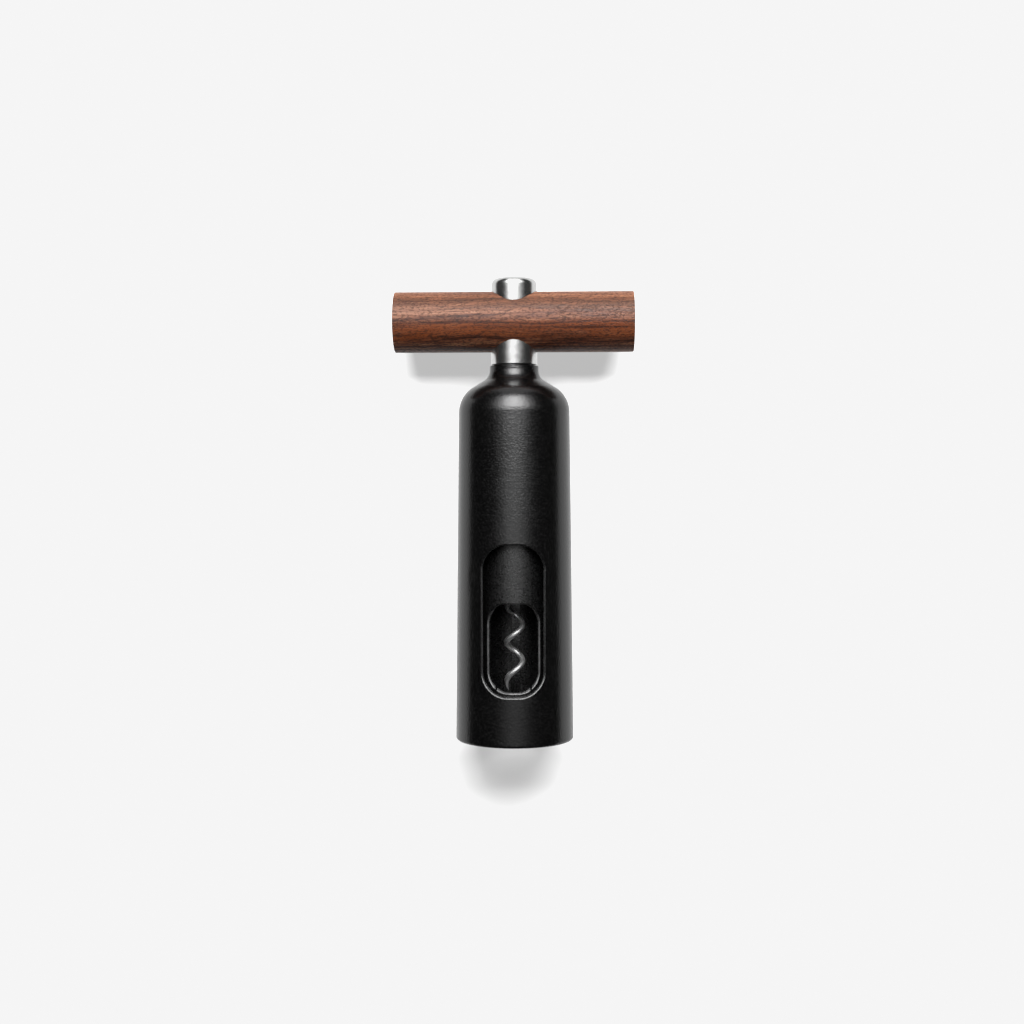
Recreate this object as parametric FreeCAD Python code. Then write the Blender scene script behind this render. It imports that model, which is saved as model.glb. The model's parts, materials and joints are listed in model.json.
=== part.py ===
# T-handle bell corkscrew: a bottle-shaped plastic bell with a front window, a
# slotted liner that guides the bottle neck, a fixed-height worm on a spindle
# that runs in two bushes in the bell's neck, and a turned wooden cross handle
# clamped between a steel collar and a steel cap.
#
# Frame: +Z up along the spindle, origin at the centre of the bell's bottom
# rim, window towards -Y, handle along X.  Millimetres.
import FreeCAD, Part
import math
import os
from FreeCAD import Vector as V

os.makedirs("parts", exist_ok=True)

# ---------------------------------------------------------------- dimensions
# bell (outer housing)
RIM_R = 24.40            # radius over the foot
RIM_ROUND = 1.20         # rounding of the foot's outer edge
WALL_TOP_R = 23.08       # radius where the drafted wall meets the shoulder
WALL_TOP_Z = 135.85
SHOULDER_R = 12.0        # convex shoulder radius
SHOULDER_DEG = 58.6      # sweep of the shoulder arc before it runs straight
NECK_R0 = 10.22          # neck radius at its foot
NECK_R1 = 10.20          # neck radius at its top
NECK_TOP_Z = 155.05
NECK_FILLET = 5.2        # concave radius between shoulder and neck
SHELL = 2.48             # wall thickness of the shoulder
BORE_LOW_R = 21.60       # inside radius just above the foot
BORE_HIGH_R = WALL_TOP_R - SHELL
FOOT_RECESS_R = 22.20    # recess in the foot that takes the liner's flange
FOOT_RECESS_Z = 2.80
BOSS_R = 9.50            # bearing boss that hangs inside the shoulder
BOSS_Z = 133.0
BUSH_R = 6.50            # bush outside radius = boss bore
NECK_RECESS_R = 8.60     # recess in the neck top for bush flange and washer
NECK_RECESS_Z = 153.70
BOSS_RIBS = 6
RIB_T = 1.6

# window in the bell
WIN_W = 24.4
WIN_Z0 = 20.4
WIN_Z1 = 81.4
WIN_CORNER = 10.0
WIN_EDGE = 0.65          # rounding of the window's outer edge

# liner (inner sleeve)
SLEEVE_R = 17.20         # outside radius around the bottle neck
SLEEVE_BORE_R = 15.50    # inside radius around the bottle neck
GUIDE_R = 15.30          # entry guide that centres the bottle's finish
GUIDE_Z1 = 14.5
SLEEVE_Z0 = 0.80         # underside of the liner's flange
FLANGE_R = 22.05
LIP_STOP_Z = 79.0        # ledge that comes to rest on the bottle's lip
CHAMBER_R = 13.40        # cork chamber inside radius
CHAMBER_WALL_R = 15.20
SLEEVE_STEP_Z = 86.0     # liner narrows to the cork chamber above this
PLATE_Z0 = 124.5         # top plate of the liner
PLATE_Z1 = 126.5
PLATE_R = 20.40
PLATE_HOLE_R = 7.50

# window in the liner
SWIN_W = 20.8            # chord over the outside surface
SWIN_Z0 = 21.3
SWIN_Z1 = 57.2
SWIN_R_TOP = 7.5
SWIN_R_BOT = 8.7
SWIN_EDGE = 0.60         # rounding of the liner window's outer edge

# snap tongue under the liner's window and its catch in the bell
TONGUE_HALF = 6.75
TONGUE_SLOT = 0.70
TONGUE_ROOT_Z = 9.0
CATCH_Z0 = 12.7
CATCH_Z1 = 15.0
CATCH_R = 18.6

# rear key: rib in the bell, slot in the liner
KEY_SLOT = 3.8
KEY_RIB = 3.5
KEY_R = 15.90
KEY_Z0 = 15.5
KEY_Z1 = 84.0

# spindle, bushes and axial stack
JOURNAL_R = 5.00
RUN_FIT = 0.03           # radial running clearance of spindle in bushes
SPINDLE_Z0 = 124.6
JOURNAL_Z1 = 157.5
STUD_R = 4.00
STUD_Z1 = 187.0
GROOVE_R = 4.60
BUSH_FLANGE_R = 8.40
BUSH_FLANGE_T = 0.80
LOW_BUSH_Z1 = 141.0
UP_BUSH_Z0 = 146.0
THRUST_T = 1.0
PLAY = 0.05              # axial play between turning and fixed faces
RING_T = 1.0             # retaining ring

# worm
WIRE_R = 1.15
HELIX_R = 3.32
PITCH = 15.2
FRONT_Z = 28.5           # height at which the wire crosses the front
TIP_Z = 20.0
TIP_DEG = 140.0
TAPER_DEG = 255.0        # the wire runs steeper below this angle
TIP_MID_R = 1.05         # wire radius half way down the ground tip
HELIX_TOP_Z = 115.0
SHANK_Z0 = 123.2
SHANK_Z1 = 143.0
GRUB_Z = 127.0
GRUB_R = 1.25

# collar, handle, cap
COLLAR_R = 9.62
COLLAR_Z0 = 155.5
HANDLE_R = 12.625
HANDLE_L = 99.4
HANDLE_Z = 173.5
HANDLE_EDGE = 0.35
WEB_HALF = 5.0           # wood left between the two counterbores
POCKET_R = 9.68
WEB_HOLE_R = 4.15
CAP_R = 9.525
CAP_Z1 = 191.5
CAP_EDGE = 2.75
DOWEL_R = 1.25
DOWEL_Y = 6.2
CROSS_Z = 164.4


# ------------------------------------------------------------------- helpers
def outline(start, *steps):
    """Closed half section in the XZ plane: L goes straight, A takes an arc."""
    edges, here = [], V(start[0], 0, start[1])
    for s in steps:
        if s[0] == "L":
            nxt = V(s[1], 0, s[2])
            edges.append(Part.LineSegment(here, nxt).toShape())
        else:
            mid, nxt = V(s[1], 0, s[2]), V(s[3], 0, s[4])
            edges.append(Part.Arc(here, mid, nxt).toShape())
        here = nxt
    first = V(start[0], 0, start[1])
    if (here - first).Length > 1e-6:
        edges.append(Part.LineSegment(here, first).toShape())
    return Part.Face(Part.Wire(edges))


def turned(start, *steps):
    return outline(start, *steps).revolve(V(0, 0, 0), V(0, 0, 1), 360)


def ring(r0, r1, z0, z1):
    return turned((r0, z0), ("L", r1, z0), ("L", r1, z1), ("L", r0, z1))


def rod(r, z0, z1, x=0.0, y=0.0):
    return Part.makeCylinder(r, z1 - z0, V(x, y, z0))


def box(x0, x1, y0, y1, z0, z1):
    return Part.makeBox(x1 - x0, y1 - y0, z1 - z0, V(x0, y0, z0))


def on_circle(cr, cz, r, deg):
    a = math.radians(deg)
    return cr + r * math.cos(a), cz + r * math.sin(a)


def window_wire(y, half, z0, z1, rt, rb, sx=1.0):
    """Rounded opening in the plane y: half width, heights, corner radii; sx
    squeezes it in X so that two of them make a radial cut."""
    def e(cx, cz, r, a0, a1):
        pts = []
        for i in range(9):
            a = math.radians(a0 + (a1 - a0) * i / 8.0)
            pts.append(V(sx * (cx + r * math.cos(a)), y, cz + r * math.sin(a)))
        if abs(sx - 1.0) < 1e-9:
            return Part.Arc(pts[0], pts[4], pts[8]).toShape()
        c = Part.BSplineCurve()
        c.interpolate(pts)
        return c.toShape()

    def s(xa, za, xb, zb):
        return Part.LineSegment(V(sx * xa, y, za), V(sx * xb, y, zb)).toShape()

    h = half
    return Part.Wire([
        s(-h + rb, z0, h - rb, z0),
        e(h - rb, z0 + rb, rb, -90, 0),
        s(h, z0 + rb, h, z1 - rt),
        e(h - rt, z1 - rt, rt, 0, 90),
        s(h - rt, z1, -h + rt, z1),
        e(-h + rt, z1 - rt, rt, 90, 180),
        s(-h, z1 - rt, -h, z0 + rb),
        e(-h + rb, z0 + rb, rb, 180, 270)])


def save(name, shape):
    if shape.ShapeType == "Compound" and len(shape.Solids) == 1:
        shape = shape.Solids[0]
    ok = shape.isValid() and all(s.Volume > 0 for s in shape.Solids)
    bb = shape.BoundBox
    print("%-22s solids %d valid %s vol %9.1f  x %.2f..%.2f y %.2f..%.2f z %.2f..%.2f" % (
        name, len(shape.Solids), ok, shape.Volume, bb.XMin, bb.XMax, bb.YMin,
        bb.YMax, bb.ZMin, bb.ZMax))
    shape.exportStep("parts/%s.step" % name)
    return shape


# ------------------------------------------------------------ outer housing
# The shoulder is an arc tangent to the wall, then a straight flank, then a
# concave fillet into the neck.
sh_cr = WALL_TOP_R - SHOULDER_R
p45 = on_circle(sh_cr, WALL_TOP_Z, SHOULDER_R, SHOULDER_DEG / 2)
p58 = on_circle(sh_cr, WALL_TOP_Z, SHOULDER_R, SHOULDER_DEG)
slope = math.tan(math.radians(SHOULDER_DEG))
corner_z = p58[1] + (p58[0] - NECK_R0) / slope
t = NECK_FILLET * math.tan(math.radians(SHOULDER_DEG / 2))
f0 = (NECK_R0 + t * math.sin(math.radians(SHOULDER_DEG)),
      corner_z - t * math.cos(math.radians(SHOULDER_DEG)))
f1 = (NECK_R0, corner_z + t)
fc = (NECK_R0 + NECK_FILLET, f1[1])
fm = on_circle(fc[0], fc[1], NECK_FILLET, 180 + SHOULDER_DEG / 2)
q = SHOULDER_R - SHELL
i29 = on_circle(sh_cr, WALL_TOP_Z, q, SHOULDER_DEG / 2)
i58 = on_circle(sh_cr, WALL_TOP_Z, q, SHOULDER_DEG)
boss_top_z = i58[1] + (i58[0] - BOSS_R) / slope
k = RIM_ROUND * (1 - math.sqrt(0.5))

OUT = [
    ("A", RIM_R - k, k, RIM_R, RIM_ROUND),
    ("L", WALL_TOP_R, WALL_TOP_Z),
    ("A", p45[0], p45[1], p58[0], p58[1]),
    ("L", f0[0], f0[1]),
    ("A", fm[0], fm[1], f1[0], f1[1]),
    ("L", NECK_R1, NECK_TOP_Z - 0.25),
    ("A", NECK_R1 - 0.073, NECK_TOP_Z - 0.073, NECK_R1 - 0.25, NECK_TOP_Z)]

shell = turned(
    (FOOT_RECESS_R, 0.0),
    ("L", RIM_R - RIM_ROUND, 0.0), *OUT,
    ("L", NECK_RECESS_R, NECK_TOP_Z),
    ("L", NECK_RECESS_R, NECK_RECESS_Z),
    ("L", BUSH_R, NECK_RECESS_Z),
    ("L", BUSH_R, BOSS_Z),
    ("L", BOSS_R, BOSS_Z),
    ("L", BOSS_R, boss_top_z),
    ("L", i58[0], i58[1]),
    ("A", i29[0], i29[1], BORE_HIGH_R, WALL_TOP_Z),
    ("L", BORE_LOW_R, FOOT_RECESS_Z),
    ("L", FOOT_RECESS_R, FOOT_RECESS_Z))

# window, with its outer edge rounded
cut = Part.Face(window_wire(-30.0, WIN_W / 2, WIN_Z0, WIN_Z1, WIN_CORNER,
                            WIN_CORNER)).extrude(V(0, 20, 0))
shell = shell.cut(cut)


def wall_r(z):
    return RIM_R + (WALL_TOP_R - RIM_R) * (z - RIM_ROUND) / (WALL_TOP_Z - RIM_ROUND)


edges = []
for e in shell.Edges:
    mid = e.valueAt((e.FirstParameter + e.LastParameter) / 2)
    bb = e.BoundBox
    if (bb.YMax < -15 and bb.ZMin > WIN_Z0 - 0.5 and bb.ZMax < WIN_Z1 + 0.5
            and abs(math.hypot(mid.x, mid.y) - wall_r(mid.z)) < 0.02):
        edges.append(e)
print("window edges", len(edges))
shell = shell.makeFillet(WIN_EDGE, edges)

# rear key rib, front catch ledge, stiffening ribs round the boss
rib = box(-KEY_RIB / 2, KEY_RIB / 2, KEY_R, BORE_LOW_R + 0.6, KEY_Z0, KEY_Z1)
ledge = ring(CATCH_R, BORE_LOW_R + 0.5, CATCH_Z0, CATCH_Z1).common(
    box(-7.2, 7.2, -30, 0, 0, 40))
solid_out = turned((0, 0.5), ("L", RIM_R - 1.0, 0.5),
                   ("L", WALL_TOP_R - 1.0, WALL_TOP_Z),
                   ("A", sh_cr + (SHOULDER_R - 1) * math.cos(math.radians(29)),
                    WALL_TOP_Z + (SHOULDER_R - 1) * math.sin(math.radians(29)),
                    sh_cr + (SHOULDER_R - 1) * math.cos(math.radians(58)),
                    WALL_TOP_Z + (SHOULDER_R - 1) * math.sin(math.radians(58))),
                   ("L", BOSS_R - 0.6, boss_top_z + 1.2),
                   ("L", 0, boss_top_z + 1.2))
webs = []
for n in range(BOSS_RIBS):
    b = box(BOSS_R - 0.6, 22.5, -RIB_T / 2, RIB_T / 2, 136.5, 150.0)
    b.rotate(V(0, 0, 0), V(0, 0, 1), 30 + 60 * n)
    webs.append(b.common(solid_out))
housing = shell.fuse([rib, ledge] + webs).removeSplitter()
save("outer_housing", housing)

# -------------------------------------------------------------- inner sleeve
sleeve = turned(
    (GUIDE_R + 1.0, SLEEVE_Z0),
    ("L", FLANGE_R, SLEEVE_Z0),
    ("L", FLANGE_R, FOOT_RECESS_Z),
    ("L", SLEEVE_R, FOOT_RECESS_Z),
    ("L", SLEEVE_R, SLEEVE_STEP_Z - 2.0),
    ("L", CHAMBER_WALL_R, SLEEVE_STEP_Z),
    ("L", CHAMBER_WALL_R, PLATE_Z0),
    ("L", PLATE_R, PLATE_Z0),
    ("L", PLATE_R, PLATE_Z1),
    ("L", PLATE_HOLE_R, PLATE_Z1),
    ("L", PLATE_HOLE_R, PLATE_Z0),
    ("L", CHAMBER_R, PLATE_Z0),
    ("L", CHAMBER_R, LIP_STOP_Z),
    ("L", SLEEVE_BORE_R, LIP_STOP_Z),
    ("L", SLEEVE_BORE_R, GUIDE_Z1 + 0.6),
    ("L", GUIDE_R, GUIDE_Z1),
    ("L", GUIDE_R, SLEEVE_Z0 + 1.0))

# window cut: every side of it points at the axis
half_tan = (SWIN_W / 2) / math.sqrt(SLEEVE_R ** 2 - (SWIN_W / 2) ** 2)


sides = [window_wire(y, SWIN_W / 2, SWIN_Z0, SWIN_Z1, SWIN_R_TOP, SWIN_R_BOT,
                     half_tan * abs(y) / (SWIN_W / 2)) for y in (-8.0, -24.0)]
sleeve = sleeve.cut(Part.makeLoft(sides, True, True))
edges = []
for e in sleeve.Edges:
    mid = e.valueAt((e.FirstParameter + e.LastParameter) / 2)
    bb = e.BoundBox
    if (bb.YMax < -10 and bb.ZMin > SWIN_Z0 - 0.5 and bb.ZMax < SWIN_Z1 + 0.5
            and abs(math.hypot(mid.x, mid.y) - SLEEVE_R) < 0.02):
        edges.append(e)
print("sleeve window edges", len(edges))
sleeve = sleeve.makeFillet(SWIN_EDGE, edges)

# snap tongue: two slots free it, a barb on it hooks over the bell's catch
# ledge
for sx in (-1, 1):
    xa, xb = sorted((sx * TONGUE_HALF, sx * (TONGUE_HALF + TONGUE_SLOT)))
    sleeve = sleeve.cut(box(xa, xb, -22, -12, TONGUE_ROOT_Z, 30.0))
barb = Part.Face(Part.Wire(Part.makePolygon([
    V(0, -SLEEVE_R + 0.5, CATCH_Z1 + 0.15), V(0, -20.3, CATCH_Z1 + 0.15),
    V(0, -20.3, CATCH_Z1 + 0.9), V(0, -SLEEVE_R + 0.5, CATCH_Z1 + 3.6),
    V(0, -SLEEVE_R + 0.5, CATCH_Z1 + 0.15)]))).extrude(V(10.0, 0, 0))
barb.translate(V(-5.0, 0, 0))
# the barb's root follows the tongue's curved back
barb = barb.cut(rod(SLEEVE_R - 0.3, CATCH_Z1 - 1, CATCH_Z1 + 5))
sleeve = sleeve.fuse(barb)

# rear key slot, through the tube and as a groove past the ledge and plate
sleeve = sleeve.cut(box(-KEY_SLOT / 2, KEY_SLOT / 2, 10.0, 24.0,
                        KEY_Z0 - 0.5, 76.0))
sleeve = sleeve.cut(box(-KEY_SLOT / 2, KEY_SLOT / 2, 15.7, 24.0,
                        75.0, PLATE_Z1 + 1))
sleeve = sleeve.removeSplitter()
save("inner_sleeve", sleeve)

# soft ring under the ledge, where the bottle's lip comes to rest
save("lip_seat_ring", turned(
    (CHAMBER_R + 0.1, LIP_STOP_Z - 2.0), ("L", SLEEVE_BORE_R - 0.6, LIP_STOP_Z - 2.0),
    ("L", SLEEVE_BORE_R, LIP_STOP_Z - 1.4), ("L", SLEEVE_BORE_R, LIP_STOP_Z),
    ("L", CHAMBER_R + 0.1, LIP_STOP_Z)))

# ------------------------------------------------------- bushes and washers
bi = JOURNAL_R + RUN_FIT
up_flange_z = NECK_RECESS_Z + BUSH_FLANGE_T
save("upper_bush", turned(
    (bi, UP_BUSH_Z0), ("L", BUSH_R, UP_BUSH_Z0), ("L", BUSH_R, NECK_RECESS_Z),
    ("L", BUSH_FLANGE_R, NECK_RECESS_Z), ("L", BUSH_FLANGE_R, up_flange_z),
    ("L", bi, up_flange_z)))
save("upper_thrust_washer", ring(JOURNAL_R + 0.15, BUSH_FLANGE_R, up_flange_z,
                                 COLLAR_Z0 - PLAY))
low_flange_z = BOSS_Z - BUSH_FLANGE_T
save("lower_bush", turned(
    (bi, low_flange_z), ("L", BUSH_FLANGE_R, low_flange_z),
    ("L", BUSH_FLANGE_R, BOSS_Z), ("L", BUSH_R, BOSS_Z),
    ("L", BUSH_R, LOW_BUSH_Z1), ("L", bi, LOW_BUSH_Z1)))
lt0 = low_flange_z - THRUST_T
save("lower_thrust_washer", ring(JOURNAL_R + 0.15, 8.2, lt0, low_flange_z))

# bowed spring washer: a disc cut from a thin curved sheet
bow_r, bow_t, bow_top = 40.0, 0.35, lt0 - PLAY
sheet = Part.makeCylinder(bow_r, 30, V(-15, 0, bow_top - bow_r), V(1, 0, 0)).cut(
    Part.makeCylinder(bow_r - bow_t, 30, V(-15, 0, bow_top - bow_r), V(1, 0, 0)))
wave = sheet.common(ring(5.25, 7.4, bow_top - 3, bow_top + 1))
wave = save("wave_washer", wave)
ring_z1 = wave.BoundBox.ZMin
ring_z0 = ring_z1 - RING_T

# retaining ring with two eared ends
clip = ring(GROOVE_R, 6.6, ring_z0, ring_z1)
clip = clip.cut(box(-1.5, 1.5, 2.0, 9.0, ring_z0 - 1, ring_z1 + 1))
for sx in (-1, 1):
    clip = clip.fuse(rod(1.35, ring_z0, ring_z1, sx * 2.85, 6.35))
clip = clip.cut(rod(JOURNAL_R, ring_z0 - 1, ring_z1 + 1).cut(
    rod(GROOVE_R, ring_z0 - 2, ring_z1 + 2)).common(
    box(-4.4, 4.4, 3.6, 9, ring_z0 - 1, ring_z1 + 1)))
for sx in (-1, 1):
    clip = clip.cut(rod(0.6, ring_z0 - 1, ring_z1 + 1, sx * 2.95, 6.45))
save("retaining_ring", clip.removeSplitter())

# -------------------------------------------------------------------- spindle
spindle = turned(
    (0, SPINDLE_Z0), ("L", JOURNAL_R - 0.4, SPINDLE_Z0),
    ("L", JOURNAL_R, SPINDLE_Z0 + 0.4), ("L", JOURNAL_R, ring_z0 - 0.03),
    ("L", GROOVE_R, ring_z0 - 0.03), ("L", GROOVE_R, ring_z1 + 0.03),
    ("L", JOURNAL_R, ring_z1 + 0.03), ("L", JOURNAL_R, JOURNAL_Z1),
    ("L", STUD_R, JOURNAL_Z1), ("L", STUD_R, STUD_Z1 - 0.8),
    ("L", STUD_R - 0.8, STUD_Z1), ("L", 0, STUD_Z1))
spindle = spindle.cut(rod(WIRE_R, SPINDLE_Z0 - 1, SHANK_Z1))
for sx in (-1, 1):
    spindle = spindle.cut(Part.makeCylinder(GRUB_R, 8, V(0, 0, GRUB_Z),
                                            V(sx, 0, 0)))
spindle = spindle.cut(Part.makeCylinder(DOWEL_R, 30, V(-15, 0, CROSS_Z),
                                        V(1, 0, 0)))
save("spindle", spindle)

grubs = []
for sx in (-1, 1):
    g = Part.makeCylinder(GRUB_R, JOURNAL_R - 0.15 - (WIRE_R - 0.02),
                          V(sx * (WIRE_R - 0.02), 0, GRUB_Z), V(sx, 0, 0))
    g = g.cut(rod(WIRE_R, GRUB_Z - 3, GRUB_Z + 3))
    hexa = [V(sx * 3.6, 0.72 * math.cos(math.radians(60 * i)),
              GRUB_Z + 0.72 * math.sin(math.radians(60 * i))) for i in range(7)]
    g = g.cut(Part.Face(Part.makePolygon(hexa)).extrude(V(sx * 3, 0, 0)))
    grubs.append(g)
save("worm_grub_screws", Part.Compound(grubs))


# ----------------------------------------------------------------------- worm
def helix_point(deg, z):
    a = math.radians(deg)
    return V(HELIX_R * math.cos(a), HELIX_R * math.sin(a), z)


def helix_z(deg):
    return FRONT_Z + PITCH * (deg - 270.0) / 360.0


def circle_at(p, direction, r):
    return Part.Wire(Part.Circle(p, direction, r).toShape())


top_deg = 270.0 + 360.0 * (HELIX_TOP_Z - FRONT_Z) / PITCH
z0 = helix_z(TAPER_DEG)
coil = Part.makeHelix(PITCH, HELIX_TOP_Z - z0, HELIX_R)
coil.rotate(V(0, 0, 0), V(0, 0, 1), TAPER_DEG)
coil.translate(V(0, 0, z0))


def helix_dir(deg, pitch=PITCH):
    a = math.radians(deg)
    return V(-HELIX_R * math.sin(a), HELIX_R * math.cos(a),
             pitch / (2 * math.pi)).normalize()


body = Part.Wire(coil).makePipeShell(
    [circle_at(helix_point(TAPER_DEG, z0), helix_dir(TAPER_DEG), WIRE_R)],
    True, True)

# ground tip: the wire runs steeper and is ground to a point at its end
pts = []
n = 12
rise = z0 - TIP_Z
span = TAPER_DEG - TIP_DEG
m0 = PITCH / 360.0 * span          # rise that the plain helix would have
for i in range(n + 1):
    u = i / float(n)
    deg = TAPER_DEG - span * u
    z = z0 - (m0 * u + (rise - m0) * u * u)
    pts.append(helix_point(deg, z))
tip_curve = Part.BSplineCurve()
end_pitch = 360.0 / span * (m0 + 2 * (rise - m0))
tip_curve.interpolate(Points=pts, InitialTangent=helix_dir(TAPER_DEG) * -1,
                      FinalTangent=helix_dir(TIP_DEG, end_pitch) * -1)
pipe = Part.BRepOffsetAPI.MakePipeShell(Part.Wire(tip_curve.toShape()))
pipe.setFrenetMode(True)
pipe.add(circle_at(pts[0], helix_dir(TAPER_DEG), WIRE_R), False, False)
u_mid = tip_curve.parameter(pts[7])
pipe.add(circle_at(tip_curve.value(u_mid), tip_curve.tangent(u_mid)[0], TIP_MID_R),
         False, False)
pipe.add(circle_at(pts[-1], helix_dir(TIP_DEG, end_pitch), 0.12), False, False)
pipe.build()
pipe.makeSolid()
tip = pipe.shape()

# upper end: the wire leaves the helix, comes onto the axis and stands
# straight up in the spindle's socket
a_top = helix_point(top_deg, HELIX_TOP_Z)
swing_curve = Part.BezierCurve()
swing_curve.setPoles([a_top, a_top + helix_dir(top_deg) * 4.5,
                      V(0, 0, SHANK_Z0 - 3.0), V(0, 0, SHANK_Z0)])
pipe = Part.BRepOffsetAPI.MakePipeShell(Part.Wire(swing_curve.toShape()))
pipe.setFrenetMode(False)
pipe.add(circle_at(a_top, helix_dir(top_deg), WIRE_R), False, False)
pipe.build()
pipe.makeSolid()
bend = pipe.shape()
shank = rod(WIRE_R, SHANK_Z0, SHANK_Z1 - 0.2)
for nm, s in (("coil", body), ("tip", tip), ("bend", bend), ("shank", shank)):
    print("  worm", nm, s.ShapeType, s.isValid(), round(s.Volume, 2))
worm = body.fuse([tip, bend, shank])
save("worm", worm)

# --------------------------------------------------------------------- collar
web0, web1 = HANDLE_Z - WEB_HALF, HANDLE_Z + WEB_HALF
collar = turned(
    (JOURNAL_R, COLLAR_Z0), ("L", COLLAR_R - 0.15, COLLAR_Z0),
    ("L", COLLAR_R, COLLAR_Z0 + 0.15), ("L", COLLAR_R, web0 - 0.4),
    ("L", COLLAR_R - 0.35, web0 - 0.05), ("L", STUD_R, web0 - 0.05),
    ("L", STUD_R, JOURNAL_Z1), ("L", JOURNAL_R, JOURNAL_Z1))
collar = collar.cut(Part.makeCylinder(DOWEL_R, 30, V(-15, 0, CROSS_Z), V(1, 0, 0)))
for sy in (-1, 1):
    collar = collar.cut(rod(DOWEL_R, 161.6, web0 + 1, 0, sy * DOWEL_Y))
save("stem_collar", collar)

# spring pin through collar and stud: a slit tube
pin = Part.makeCylinder(DOWEL_R, 18.6, V(-9.3, 0, CROSS_Z), V(1, 0, 0)).cut(
    Part.makeCylinder(0.65, 20, V(-10, 0, CROSS_Z), V(1, 0, 0))).cut(
    box(-10, 10, -0.3, 0.3, CROSS_Z, CROSS_Z + 2))
save("collar_roll_pin", pin)

# two dowels that turn the wood with the collar
dowels = []
for sy in (-1, 1):
    d = turned((0, 161.65), ("L", DOWEL_R - 0.2, 161.65), ("L", DOWEL_R, 161.85),
               ("L", DOWEL_R, 172.7), ("L", DOWEL_R - 0.2, 172.9), ("L", 0, 172.9))
    d.translate(V(0, sy * DOWEL_Y, 0))
    dowels.append(d)
save("drive_pins", Part.Compound(dowels))

# --------------------------------------------------------------------- handle
hl = HANDLE_L / 2
ke = HANDLE_EDGE * (1 - math.sqrt(0.5))
hp = [V(-hl, 0, 0), V(-hl, 0, HANDLE_R - HANDLE_EDGE), V(-hl + HANDLE_EDGE, 0, HANDLE_R),
      V(hl - HANDLE_EDGE, 0, HANDLE_R), V(hl, 0, HANDLE_R - HANDLE_EDGE), V(hl, 0, 0)]
grip = Part.Face(Part.Wire([
    Part.LineSegment(hp[0], hp[1]).toShape(),
    Part.Arc(hp[1], V(-hl + ke, 0, HANDLE_R - ke), hp[2]).toShape(),
    Part.LineSegment(hp[2], hp[3]).toShape(),
    Part.Arc(hp[3], V(hl - ke, 0, HANDLE_R - ke), hp[4]).toShape(),
    Part.LineSegment(hp[4], hp[5]).toShape(),
    Part.LineSegment(hp[5], hp[0]).toShape()])).revolve(V(0, 0, 0), V(1, 0, 0), 360)
grip.translate(V(0, 0, HANDLE_Z))
grip = grip.cut(rod(POCKET_R, 150, web0))
grip = grip.cut(rod(POCKET_R, web1, 200))
grip = grip.cut(rod(WEB_HOLE_R, 150, 200))
for sy in (-1, 1):
    grip = grip.cut(rod(DOWEL_R, 160, 173.2, 0, sy * DOWEL_Y))
save("handle", grip)

# ------------------------------------------------- washers and cap on the stud
save("handle_washer", ring(4.2, 9.3, web1, web1 + 0.8))
spring = ring(4.2, 7.6, web1 + 0.8, web1 + 2.0)
slit = box(3.5, 9.0, -0.35, 0.35, web1 - 1, web1 + 4)
slit.rotate(V(6, 0, web1 + 1.4), V(1, 0, 0), 28)
save("spring_washer", spring.cut(slit))

cap_z0 = web1 + 2.05
kc = CAP_EDGE * (1 - math.sqrt(0.5))
save("stem_cap", turned(
    (STUD_R, cap_z0), ("L", CAP_R - 0.3, cap_z0), ("L", CAP_R, cap_z0 + 0.3),
    ("L", CAP_R, CAP_Z1 - CAP_EDGE),
    ("A", CAP_R - kc, CAP_Z1 - kc, CAP_R - CAP_EDGE, CAP_Z1),
    ("L", 0, CAP_Z1), ("L", 0, STUD_Z1 + 0.6), ("L", STUD_R - 0.6, STUD_Z1 + 0.3),
    ("L", STUD_R, STUD_Z1 - 0.3)))
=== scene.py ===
import json
import math

import bpy
from mathutils import Matrix, Vector

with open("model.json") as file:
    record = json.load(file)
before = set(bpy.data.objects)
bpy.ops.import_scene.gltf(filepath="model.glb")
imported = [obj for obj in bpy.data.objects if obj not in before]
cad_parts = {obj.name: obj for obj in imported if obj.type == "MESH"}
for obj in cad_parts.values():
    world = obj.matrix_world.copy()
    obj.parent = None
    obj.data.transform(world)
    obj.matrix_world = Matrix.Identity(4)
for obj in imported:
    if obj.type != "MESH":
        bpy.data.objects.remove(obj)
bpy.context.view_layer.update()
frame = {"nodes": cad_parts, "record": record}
nodes = frame["nodes"]

PALE = 0.914            # the pale surface, as the camera sees it
BOX_L = 15.0            # radiance of the softbox in mirror-like reflections
BOX_DIFF = 5.5          # the part of it that also lights matt surfaces


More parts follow.
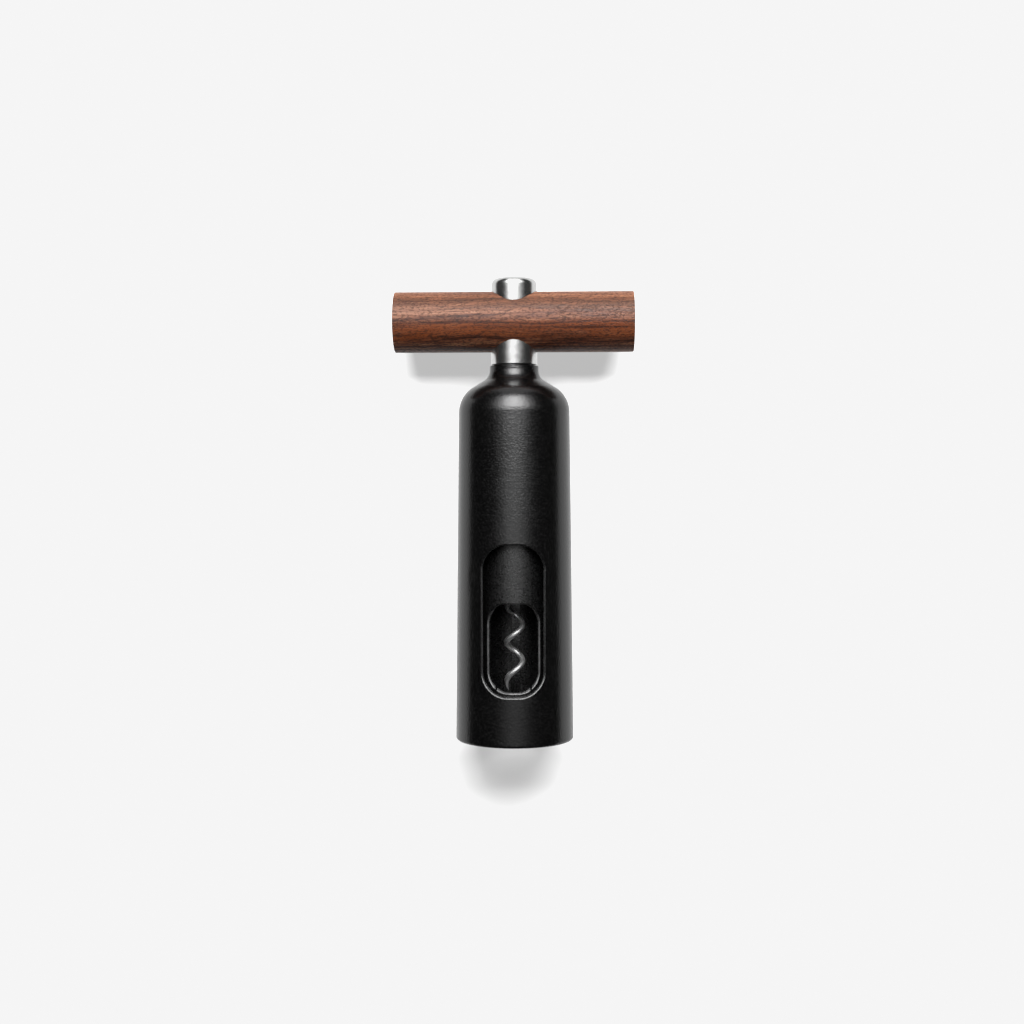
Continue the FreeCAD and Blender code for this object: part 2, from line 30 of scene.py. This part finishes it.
# ------------------------------------------------------------- node helpers
class Graph:
    """Small helper that adds shader nodes and links them in one call."""

    def __init__(self, tree):
        self.t = tree
        tree.nodes.clear()

    def put(self, kind, ins=None, **props):
        n = self.t.nodes.new(kind)
        for k, v in props.items():
            setattr(n, k, v)
        for k, v in (ins or {}).items():
            self.set(n, k, v)
        return n

    def set(self, n, key, v):
        s = n.inputs[key]
        if isinstance(v, bpy.types.NodeSocket):
            self.t.links.new(v, s)
        elif isinstance(v, bpy.types.Node):
            self.t.links.new(v.outputs[0], s)
        else:
            s.default_value = v

    def math(self, op, a, b=None, c=None, clamp=False):
        n = self.put("ShaderNodeMath", {0: a}, operation=op, use_clamp=clamp)
        if b is not None:
            self.set(n, 1, b)
        if c is not None:
            self.set(n, 2, c)
        return n.outputs[0]

    def step(self, v, lo, hi, a=0.0, b=1.0):
        n = self.put("ShaderNodeMapRange", {"Value": v, "From Min": lo, "From Max": hi,
                                            "To Min": a, "To Max": b},
                     interpolation_type="SMOOTHSTEP")
        return n.outputs[0]

    def scale(self, vec, xyz, loc=(0, 0, 0)):
        n = self.put("ShaderNodeMapping", {"Vector": vec, "Scale": xyz, "Location": loc})
        return n.outputs[0]

    def noise(self, vec, scale, detail=2.0, rough=0.5, dist=0.0):
        n = self.put("ShaderNodeTexNoise", {"Vector": vec, "Scale": scale,
                                            "Detail": detail, "Roughness": rough,
                                            "Distortion": dist})
        return n.outputs[0]

    def ramp(self, v, stops, mode="LINEAR"):
        n = self.put("ShaderNodeValToRGB", {0: v})
        cr = n.color_ramp
        cr.interpolation = mode
        while len(cr.elements) < len(stops):
            cr.elements.new(0.5)
        for e, (p, c) in zip(cr.elements, stops):
            e.position = p
            e.color = (c[0], c[1], c[2], 1)
        return n.outputs[0]

    def mix(self, f, a, b, mode="MIX"):
        n = self.put("ShaderNodeMix", data_type="RGBA", blend_type=mode)
        self.set(n, 0, f)
        self.set(n, 6, a if not isinstance(a, tuple) else (*a[:3], 1))
        self.set(n, 7, b if not isinstance(b, tuple) else (*b[:3], 1))
        return n.outputs[2]

    def bump(self, h, strength, dist, normal=None):
        n = self.put("ShaderNodeBump", {"Height": h, "Strength": strength,
                                        "Distance": dist})
        if normal is not None:
            self.set(n, "Normal", normal)
        return n.outputs[0]


def material(name, build):
    m = bpy.data.materials.new(name)
    m.use_nodes = True
    g = Graph(m.node_tree)
    out = g.put("ShaderNodeOutputMaterial")
    tc = g.put("ShaderNodeTexCoord")
    bsdf = build(g, tc.outputs["Object"])
    m.node_tree.links.new(bsdf.outputs[0], out.inputs[0])
    return m


def principled(g, **ins):
    n = g.put("ShaderNodeBsdfPrincipled")
    for k, v in ins.items():
        g.set(n, k.replace("_", " "), v)
    return n


# ---------------------------------------------------------------- materials
def painted_highlight_mask(g, p, half, z0, z1, corner, r_in, wide):
    """Painted highlight mask: 1 on the front edge of a rounded window, 0 away
    from it, weaker near its top.  half, z0, z1 and corner give the opening,
    r_in the radius inside which nothing shows."""
    sep = g.put("ShaderNodeSeparateXYZ", {0: p})
    x, y, z = sep.outputs[0], sep.outputs[1], sep.outputs[2]
    qx = g.math("SUBTRACT", g.math("ABSOLUTE", x), half - corner)
    qz = g.math("SUBTRACT", g.math("ABSOLUTE", g.math("SUBTRACT", z, (z0 + z1) / 2)),
                (z1 - z0) / 2 - corner)
    ox, oz = g.math("MAXIMUM", qx, 0.0), g.math("MAXIMUM", qz, 0.0)
    out = g.math("SQRT", g.math("ADD", g.math("MULTIPLY", ox, ox),
                                g.math("MULTIPLY", oz, oz)))
    d = g.math("ADD", out, g.math("MINIMUM", g.math("MAXIMUM", qx, qz), 0.0))
    d = g.math("ABSOLUTE", g.math("SUBTRACT", d, corner))
    r = g.math("SQRT", g.math("ADD", g.math("MULTIPLY", x, x), g.math("MULTIPLY", y, y)))
    m = g.math("MULTIPLY", g.step(d, wide * 0.5, wide, 1.0, 0.0),
               g.step(r, r_in - 0.0002, r_in))
    m = g.math("MULTIPLY", m, g.step(y, -0.012, -0.010, 1.0, 0.0))
    return g.math("MULTIPLY", m, g.step(z, z0 + 0.55 * (z1 - z0), z1, 1.0, 0.45))


def bell_plastic(g, p):
    # moulded black plastic: fine spark-eroded skin, soft mottling, painted highlights on the
    # window's front edges
    fine = g.noise(p, 1450.0, 1.0, 0.5)
    mid = g.noise(p, 420.0, 2.0, 0.5)
    broad = g.noise(p, 70.0, 2.0, 0.5)
    grain = g.math("ADD", g.math("MULTIPLY", fine, 0.92), g.math("MULTIPLY", mid, 0.08))
    col = g.ramp(grain, [(0.30, (0.0012, 0.0012, 0.0013)), (0.52, (0.0028, 0.0028, 0.0029)),
                         (0.64, (0.0065, 0.0065, 0.0066)), (0.76, (0.0130, 0.0130, 0.0132))])
    # painted highlight: lighter grey along the window's front edge, weaker near its top, where
    # the light catches it
    painted_edge_highlight = painted_highlight_mask(g, p, 0.0122, 0.0204, 0.0814, 0.0100, 0.0232, 0.00048)
    painted_edge_highlight = g.math("MULTIPLY", painted_edge_highlight, g.step(mid, 0.25, 0.75, 0.6, 1.2))
    col = g.mix(painted_edge_highlight, col, (0.060, 0.060, 0.061))
    rough = g.math("ADD", g.step(grain, 0.3, 0.7, 0.18, 0.25),
                   g.step(broad, 0.35, 0.65, -0.012, 0.012))
    n = g.bump(grain, 0.74, 0.00010)
    return principled(g, Base_Color=col, Roughness=rough, Normal=n, IOR=1.50)


def liner_plastic(g, p):
    fine = g.noise(p, 1400.0, 1.0, 0.5)
    mid = g.noise(p, 360.0, 2.0, 0.5)
    grain = g.math("ADD", g.math("MULTIPLY", fine, 0.80), g.math("MULTIPLY", mid, 0.20))
    col = g.ramp(grain, [(0.30, (0.0012, 0.0012, 0.0012)), (0.52, (0.0032, 0.0032, 0.0033)),
                         (0.64, (0.0080, 0.0080, 0.0082)), (0.76, (0.0160, 0.0160, 0.0162))])
    # painted highlight: lighter grey along the inner window's front edge, weaker near its top
    painted_edge_highlight = painted_highlight_mask(g, p, 0.0104, 0.0213, 0.0572, 0.0084, 0.0150, 0.00055)
    painted_edge_highlight = g.math("MULTIPLY", painted_edge_highlight, g.step(mid, 0.25, 0.75, 0.6, 1.2))
    col = g.mix(painted_edge_highlight, col, (0.110, 0.110, 0.111))
    rough = g.step(grain, 0.3, 0.7, 0.26, 0.36)
    n = g.bump(grain, 0.70, 0.00010)
    return principled(g, Base_Color=col, Roughness=rough, Normal=n, IOR=1.50)


def wood(g, p):
    # grain along X: long streaks, fine fibres, short open pores, one warm band
    sep = g.put("ShaderNodeSeparateXYZ", {0: p})
    drift = g.noise(g.scale(p, (9.0, 45.0, 45.0)), 1.0, 2.0, 0.5)
    bend = g.math("MULTIPLY", g.math("SUBTRACT", drift, 0.5), 0.012)
    zz = g.math("ADD", sep.outputs[2], bend)
    q = g.put("ShaderNodeCombineXYZ", {0: sep.outputs[0], 1: sep.outputs[1], 2: zz}).outputs[0]
    band = g.noise(g.scale(q, (6.0, 160.0, 300.0)), 1.0, 2.0, 0.5)
    streak = g.noise(g.scale(q, (26.0, 620.0, 850.0)), 1.0, 3.0, 0.6)
    fibre = g.noise(g.scale(q, (110.0, 1700.0, 1900.0)), 1.0, 2.0, 0.6)
    fleck = g.noise(g.scale(q, (520.0, 2200.0, 2200.0)), 1.0, 1.0, 0.4)
    speck = g.noise(g.scale(p, (900.0, 1800.0, 1800.0), (1.7, 0.3, 0.9)), 1.0, 1.0, 0.4)
    tone = g.math("ADD", g.math("MULTIPLY", band, 0.34), g.math("MULTIPLY", streak, 0.40))
    tone = g.math("ADD", tone, g.math("MULTIPLY", fibre, 0.26))
    col = g.ramp(tone, [(0.40, (0.030, 0.0090, 0.0055)), (0.455, (0.090, 0.0280, 0.0140)),
                        (0.50, (0.170, 0.0550, 0.0260)), (0.545, (0.265, 0.0960, 0.0470)),
                        (0.60, (0.420, 0.1850, 0.0980))])
    # painted sheen: a paler zone above the middle of the grip; a warm band below it; a painted
    # highlight in a warm tone along the top
    pale = g.math("MULTIPLY", g.step(zz, 0.1745, 0.1775), g.step(zz, 0.1800, 0.1850, 1.0, 0.0))
    col = g.mix(g.math("MULTIPLY", pale, 0.34), col, (0.300, 0.135, 0.075))
    warm = g.math("MULTIPLY", g.step(zz, 0.1640, 0.1664), g.step(zz, 0.1705, 0.1732, 1.0, 0.0))
    warm = g.math("MULTIPLY", warm, g.step(streak, 0.38, 0.58, 0.25, 1.0))
    col = g.mix(g.math("MULTIPLY", warm, 0.80), col, (0.285, 0.069, 0.0175))
    # painted highlight: a light warm band along the top of the grip
    painted_crown_highlight = g.math("MULTIPLY", g.step(zz, 0.1818, 0.1838), g.step(streak, 0.40, 0.60, 0.3, 1.0))
    col = g.mix(g.math("MULTIPLY", painted_crown_highlight, 0.75), col, (0.480, 0.190, 0.0950))
    pore = g.step(fleck, 0.555, 0.64)
    dots = g.step(speck, 0.55, 0.63)
    dark = g.math("MAXIMUM", pore, g.math("MULTIPLY", dots, 0.8))
    col = g.mix(g.math("MULTIPLY", dark, 0.66), col, (0.014, 0.0065, 0.0050))
    rough = g.math("ADD", g.step(fibre, 0.3, 0.7, 0.36, 0.48),
                   g.math("MULTIPLY", dark, 0.12))
    h = g.math("SUBTRACT", g.math("MULTIPLY", fibre, 0.6), dark)
    n = g.bump(h, 0.45, 0.00008)
    return principled(g, Base_Color=col, Roughness=rough, Normal=n, IOR=1.46,
                      Specular_IOR_Level=0.28)


def satin_steel(g, p):
    # turned on a lathe, then blasted: faint tool marks round the axis
    marks = g.noise(g.scale(p, (40.0, 40.0, 9000.0)), 1.0, 2.0, 0.5)
    blur = g.noise(p, 500.0, 2.0, 0.5)
    col = g.ramp(blur, [(0.3, (0.66, 0.66, 0.655)), (0.7, (0.72, 0.72, 0.715))])
    rough = g.math("ADD", g.step(marks, 0.3, 0.7, 0.190, 0.230),
                   g.step(blur, 0.35, 0.65, -0.010, 0.010))
    n = g.bump(marks, 0.05, 0.000008)
    return principled(g, Base_Color=col, Roughness=rough, Normal=n, Metallic=1.0)


def turned_steel(g, p):
    marks = g.noise(g.scale(p, (90.0, 90.0, 9000.0)), 1.0, 2.0, 0.5)
    blur = g.noise(p, 300.0, 3.0, 0.5)
    col = g.ramp(blur, [(0.3, (0.44, 0.44, 0.44)), (0.7, (0.56, 0.56, 0.555))])
    rough = g.step(marks, 0.3, 0.7, 0.24, 0.38)
    n = g.bump(marks, 0.15, 0.00004)
    return principled(g, Base_Color=col, Roughness=rough, Normal=n, Metallic=1.0)


def worm_steel(g, p):
    # drawn and tumbled wire: soft sheen, faint rubbing, tiny pits
    rub = g.noise(g.scale(p, (600.0, 600.0, 260.0)), 1.0, 3.0, 0.55)
    spots = g.noise(p, 2200.0, 2.0, 0.5)
    col = g.ramp(rub, [(0.3, (0.52, 0.52, 0.52)), (0.7, (0.68, 0.68, 0.675))])
    rough = g.math("ADD", g.step(rub, 0.3, 0.7, 0.38, 0.50),
                   g.step(spots, 0.55, 0.7, 0.0, 0.06))
    n = g.bump(spots, 0.12, 0.00003)
    return principled(g, Base_Color=col, Roughness=rough, Normal=n, Metallic=0.85)


def spring_steel(g, p):
    heat = g.noise(p, 260.0, 3.0, 0.5)
    grit = g.noise(p, 2600.0, 2.0, 0.5)
    col = g.ramp(heat, [(0.3, (0.22, 0.215, 0.21)), (0.7, (0.36, 0.355, 0.35))])
    rough = g.step(grit, 0.3, 0.7, 0.30, 0.45)
    return principled(g, Base_Color=col, Roughness=rough,
                      Normal=g.bump(grit, 0.12, 0.00003), Metallic=1.0)


def black_oxide(g, p):
    grit = g.noise(p, 2600.0, 2.0, 0.5)
    col = g.ramp(grit, [(0.3, (0.018, 0.018, 0.020)), (0.7, (0.05, 0.05, 0.052))])
    return principled(g, Base_Color=col, Roughness=g.step(grit, 0.3, 0.7, 0.36, 0.5),
                      Normal=g.bump(grit, 0.15, 0.00003), Metallic=0.7)


def soft_rubber(g, p):
    dust = g.noise(p, 420.0, 3.0, 0.55)
    grit = g.noise(p, 2200.0, 2.0, 0.5)
    col = g.ramp(dust, [(0.3, (0.020, 0.0195, 0.019)), (0.7, (0.036, 0.0355, 0.034))])
    return principled(g, Base_Color=col, Roughness=g.step(grit, 0.3, 0.7, 0.62, 0.80),
                      Normal=g.bump(grit, 0.2, 0.00005), IOR=1.48)


def bush_plastic(g, p):
    cloud = g.noise(p, 240.0, 3.0, 0.5)
    grit = g.noise(p, 1900.0, 2.0, 0.5)
    col = g.ramp(cloud, [(0.3, (0.66, 0.63, 0.55)), (0.7, (0.76, 0.73, 0.66))])
    return principled(g, Base_Color=col, Roughness=g.step(grit, 0.3, 0.7, 0.34, 0.46),
                      Normal=g.bump(grit, 0.1, 0.00003), IOR=1.48)


def washer_plastic(g, p):
    cloud = g.noise(p, 240.0, 3.0, 0.5)
    grit = g.noise(p, 1900.0, 2.0, 0.5)
    col = g.ramp(cloud, [(0.3, (0.006, 0.006, 0.0062)), (0.7, (0.012, 0.012, 0.0122))])
    return principled(g, Base_Color=col, Roughness=g.step(grit, 0.3, 0.7, 0.40, 0.55),
                      Normal=g.bump(grit, 0.1, 0.00003), IOR=1.48)


looks = {
    "bell_plastic": material("bell_plastic_skin", bell_plastic),
    "liner_plastic": material("liner_plastic_skin", liner_plastic),
    "seat_rubber": material("seat_rubber_skin", soft_rubber),
    "bush_plastic": material("bush_plastic_skin", bush_plastic),
    "washer_plastic": material("washer_plastic_skin", washer_plastic),
    "spindle_steel": material("spindle_turned_steel", turned_steel),
    "worm_steel": material("worm_polished_steel", worm_steel),
    "screw_steel": material("screw_black_oxide", black_oxide),
    "spring_steel": material("spring_steel_blued", spring_steel),
    "stem_satin_steel": material("stem_satin_steel_skin", satin_steel),
    "handle_wood": material("handle_oiled_wood", wood),
}
slot_of = {s["node"]: s["material_slot"] for s in frame["record"]["subparts"]}
for name, obj in nodes.items():
    for s in obj.material_slots:
        s.material = looks[slot_of[name]]

# ------------------------------------------------------------------- camera
DIST = 0.5926
YAW = math.radians(1.7)
AXIS_Z = 0.1056
cam_data = bpy.data.cameras.new("camera")
cam = bpy.data.objects.new("camera", cam_data)
bpy.context.scene.collection.objects.link(cam)
cam.location = (DIST * math.sin(YAW), -DIST * math.cos(YAW), AXIS_Z)
turn = (Matrix.Rotation(YAW, 4, "Z") @ Matrix.Rotation(math.radians(90), 4, "X")
        @ Matrix.Rotation(math.radians(-0.10), 4, "Z"))
cam.rotation_mode = "QUATERNION"
cam.rotation_quaternion = turn.to_quaternion()
cam_data.lens = 50.0
cam_data.sensor_width = 36.0
cam_data.shift_x = -2.4 / 1024
cam_data.shift_y = -27.0 / 1024
cam_data.clip_start, cam_data.clip_end = 0.01, 100.0
bpy.context.scene.camera = cam

# -------------------------------------------------------- studio directions
def arc(g, vec):
    """Azimuth from the camera side (right positive) and elevation, degrees."""
    sep = g.put("ShaderNodeSeparateXYZ", {0: vec})
    x, y, z = sep.outputs[0], sep.outputs[1], sep.outputs[2]
    az = g.math("MULTIPLY", g.math("ARCTAN2", x, g.math("MULTIPLY", y, -1.0)),
                180 / math.pi)
    el = g.math("MULTIPLY", g.math("ARCSINE", z), 180 / math.pi)
    return az, el


def box_mask(g, az, el, tight=1.5, low=0.0):
    """The large softbox above the camera, fading towards its sides; low is
    the faint spill below its lower edge."""
    a = g.math("MULTIPLY", g.math("SUBTRACT", az, 1.0), math.radians(tight))
    a = g.math("MINIMUM", g.math("ABSOLUTE", a), math.pi / 2)
    c = g.math("COSINE", a)
    spill = g.step(el, -20.0, 10.0, low * 0.3, low)
    m = g.math("MAXIMUM", g.step(el, 9.5, 13.0), spill)
    m = g.math("MULTIPLY", m, g.step(el, 52.0, 66.0, 1.0, 0.0))
    m = g.math("MULTIPLY", m, g.step(el, -34.0, -8.0))
    return g.math("MULTIPLY", m, g.math("MULTIPLY", c, c))


# ------------------------------------------- pale surface that it lies on
# It stands upright just behind the object and is lit brighter than white, so
# that only the deep part of the softbox's shadow shows on it.
PLANE_Y = 0.0248
half = 1.6
me = bpy.data.meshes.new("pale_surface")
me.from_pydata([(-half, PLANE_Y, 0.1 - half), (half, PLANE_Y, 0.1 - half),
                (half, PLANE_Y, 0.1 + half), (-half, PLANE_Y, 0.1 + half)],
               [], [(0, 1, 2, 3)])
me.update()
floor = bpy.data.objects.new("pale_surface", me)
bpy.context.scene.collection.objects.link(floor)
fm = bpy.data.materials.new("pale_surface")
fm.use_nodes = True
g = Graph(fm.node_tree)
geo = g.put("ShaderNodeNewGeometry")
diff = g.put("ShaderNodeBsdfDiffuse", {"Color": (0.05, 0.05, 0.05, 1)})
sep = g.put("ShaderNodeSeparateXYZ", {0: geo.outputs["Position"]})
# painted shade and light below the foot: the glow drops lower down, deepening the foot's
# shadow, and rises near the foot as painted bounce light
painted_foot_shade = g.step(sep.outputs[2], -0.014, -0.001, 0.385, 0.570)
base = g.step(sep.outputs[2], 0.02, 0.08)
far = g.math("MAXIMUM", g.step(g.math("ABSOLUTE", sep.outputs[0]), 0.11, 0.20),
             g.step(sep.outputs[2], -0.15, -0.07, 1.0, 0.0))
glow = g.put("ShaderNodeEmission", {
    "Color": (1, 1, 1, 1),
    "Strength": g.math("ADD", g.math("MULTIPLY", far, 0.6),
                       g.math("ADD",
                              g.math("MULTIPLY", painted_foot_shade, g.math("SUBTRACT", 1.0, base)),
                              g.math("MULTIPLY", base, 0.495)))})
both = g.put("ShaderNodeAddShader")
fm.node_tree.links.new(diff.outputs[0], both.inputs[0])
fm.node_tree.links.new(glow.outputs[0], both.inputs[1])
mixs = g.put("ShaderNodeMixShader", {0: geo.outputs["Backfacing"]})
clear = g.put("ShaderNodeBsdfTransparent")
fm.node_tree.links.new(both.outputs[0], mixs.inputs[1])
fm.node_tree.links.new(clear.outputs[0], mixs.inputs[2])
out = g.put("ShaderNodeOutputMaterial")
fm.node_tree.links.new(mixs.outputs[0], out.inputs[0])
me.materials.append(fm)
floor.visible_shadow = False
floor.visible_diffuse = False
floor.visible_glossy = False
floor.visible_transmission = False

# the softbox as the pale surface sees it
lamp_data = bpy.data.lights.new("surface_lamp", "AREA")
lamp_data.shape = "RECTANGLE"
lamp_data.size, lamp_data.size_y = 0.83, 0.39
lamp_data.energy = 255.0
lamp = bpy.data.objects.new("surface_lamp", lamp_data)
bpy.context.scene.collection.objects.link(lamp)
lamp.location = Vector((0.080, -0.600, 0.526))
away = (lamp.location - Vector((0, 0, 0.14))).normalized()
lamp.rotation_mode = "QUATERNION"
lamp.rotation_quaternion = away.to_track_quat("Z", "Y")
only = bpy.data.collections.new("surface_only")
only.objects.link(floor)
lamp.light_linking.receiver_collection = only

# ------------------------------------------------------------ softbox sheen
# A curved screen in the softbox's place, seen by glossy reflections only.
R_BOX = 1.25
BOX_AT = Vector((0.0, 0.0, 0.14))
verts, faces = [], []
na, ne = 22, 16
for j in range(ne + 1):
    for i in range(na + 1):
        a = math.radians(-44.0 + 90.0 * i / na)
        e = math.radians(-34.0 + 101.0 * j / ne)
        verts.append((R_BOX * math.sin(a) * math.cos(e),
                      -R_BOX * math.cos(a) * math.cos(e),
                      BOX_AT.z + R_BOX * math.sin(e)))
for j in range(ne):
    for i in range(na):
        k = j * (na + 1) + i
        faces.append((k, k + 1, k + na + 2, k + na + 1))
me = bpy.data.meshes.new("softbox_screen")
me.from_pydata(verts, [], faces)
me.update()
screen = bpy.data.objects.new("softbox_screen", me)
bpy.context.scene.collection.objects.link(screen)
sm = bpy.data.materials.new("softbox_screen")
sm.use_nodes = True
g = Graph(sm.node_tree)
geo = g.put("ShaderNodeNewGeometry")
ray = g.put("ShaderNodeVectorMath", {0: geo.outputs["Position"], 1: tuple(BOX_AT)},
            operation="SUBTRACT")
unit = g.put("ShaderNodeVectorMath", {0: ray.outputs[0]}, operation="NORMALIZE")
az, el = arc(g, unit.outputs[0])
emit = g.put("ShaderNodeEmission", {
    "Color": (1, 1, 1, 1),
    "Strength": g.math("MULTIPLY", box_mask(g, az, el, 2.2, 0.165), BOX_L - BOX_DIFF)})
clear = g.put("ShaderNodeBsdfTransparent")
both = g.put("ShaderNodeAddShader")
sm.node_tree.links.new(emit.outputs[0], both.inputs[0])
sm.node_tree.links.new(clear.outputs[0], both.inputs[1])
out = g.put("ShaderNodeOutputMaterial")
sm.node_tree.links.new(both.outputs[0], out.inputs[0])
me.materials.append(sm)
screen.visible_camera = False
screen.visible_diffuse = False
screen.visible_shadow = False
screen.visible_transmission = False
matt = bpy.data.collections.new("sheen_on")
for name, obj in nodes.items():
    if not slot_of[name].endswith("_steel"):
        matt.objects.link(obj)
screen.light_linking.receiver_collection = matt

# the same screen, a little to the left, for the steel parts only
glint = bpy.data.objects.new("steel_screen", me.copy())
bpy.context.scene.collection.objects.link(glint)
gm = bpy.data.materials.new("steel_screen")
gm.use_nodes = True
g = Graph(gm.node_tree)
geo = g.put("ShaderNodeNewGeometry")
ray = g.put("ShaderNodeVectorMath", {0: geo.outputs["Position"], 1: tuple(BOX_AT)},
            operation="SUBTRACT")
unit = g.put("ShaderNodeVectorMath", {0: ray.outputs[0]}, operation="NORMALIZE")
az, el = arc(g, unit.outputs[0])
az = g.math("ADD", az, 8.0)
emit = g.put("ShaderNodeEmission", {
    "Color": (1, 1, 1, 1),
    "Strength": g.math("MULTIPLY", box_mask(g, az, el, 2.3, 0.25), 2.7)})
clear = g.put("ShaderNodeBsdfTransparent")
both = g.put("ShaderNodeAddShader")
gm.node_tree.links.new(emit.outputs[0], both.inputs[0])
gm.node_tree.links.new(clear.outputs[0], both.inputs[1])
out = g.put("ShaderNodeOutputMaterial")
gm.node_tree.links.new(both.outputs[0], out.inputs[0])
glint.data.materials.clear()
glint.data.materials.append(gm)
# just outside the first screen, so that the two never coincide
glint.scale = (1.04, 1.04, 1.04)
glint.location = BOX_AT * -0.04
glint.visible_camera = False
glint.visible_diffuse = False
glint.visible_shadow = False
glint.visible_transmission = False
steel = bpy.data.collections.new("glint_on")
for name, obj in nodes.items():
    if slot_of[name].endswith("_steel") and name != "worm":
        steel.objects.link(obj)
glint.light_linking.receiver_collection = steel

# -------------------------------------------------------------------- world
world = bpy.data.worlds.new("studio")
bpy.context.scene.world = world
world.use_nodes = True
g = Graph(world.node_tree)
tc = g.put("ShaderNodeTexCoord")
az, el = arc(g, tc.outputs["Generated"])
aaz = g.math("ABSOLUTE", az)
# behind: the pale surface carried on, dimmer low down where the shadow lies;
# sides and low front: dark studio; overhead: pale ceiling
rear = g.math("MULTIPLY", g.step(aaz, 97.0, 108.0), g.step(el, -60.0, -25.0, 0.35, 0.92))
top = g.step(el, 62.0, 74.0, 0.0, 1.0)
side = g.math("MULTIPLY", g.step(aaz, 44.0, 60.0), 0.01)
low = g.step(el, -30.0, 10.0, 0.02, 0.04)
lum = g.math("ADD", g.math("MAXIMUM", rear, top), g.math("SUBTRACT", low, side))
lum = g.math("ADD", lum, g.math("MULTIPLY", box_mask(g, az, el, 1.5, 0.0), BOX_DIFF))
seen = g.put("ShaderNodeBackground", {"Color": (PALE, PALE, PALE, 1), "Strength": 1.0})
lit = g.put("ShaderNodeBackground", {"Color": (1, 1, 1, 1), "Strength": lum})
lp = g.put("ShaderNodeLightPath")
mixw = g.put("ShaderNodeMixShader", {0: lp.outputs["Is Camera Ray"]})
world.node_tree.links.new(lit.outputs[0], mixw.inputs[1])
world.node_tree.links.new(seen.outputs[0], mixw.inputs[2])
wo = g.put("ShaderNodeOutputWorld")
world.node_tree.links.new(mixw.outputs[0], wo.inputs[0])

vs = bpy.context.scene.view_settings
vs.view_transform = "Standard"
vs.look = "None"
vs.exposure = 0.0
vs.gamma = 1.0
# the print's white: everything brighter than the pale surface ends there
vs.use_curve_mapping = True
curves = vs.curve_mapping
curves.extend = "HORIZONTAL"
white = curves.curves[3]
white.points[0].location = (0.0, 0.0)
white.points[-1].location = (1.0, PALE)
knee = white.points.new(PALE, PALE)
for pt in white.points:
    pt.handle_type = "VECTOR"
curves.update()
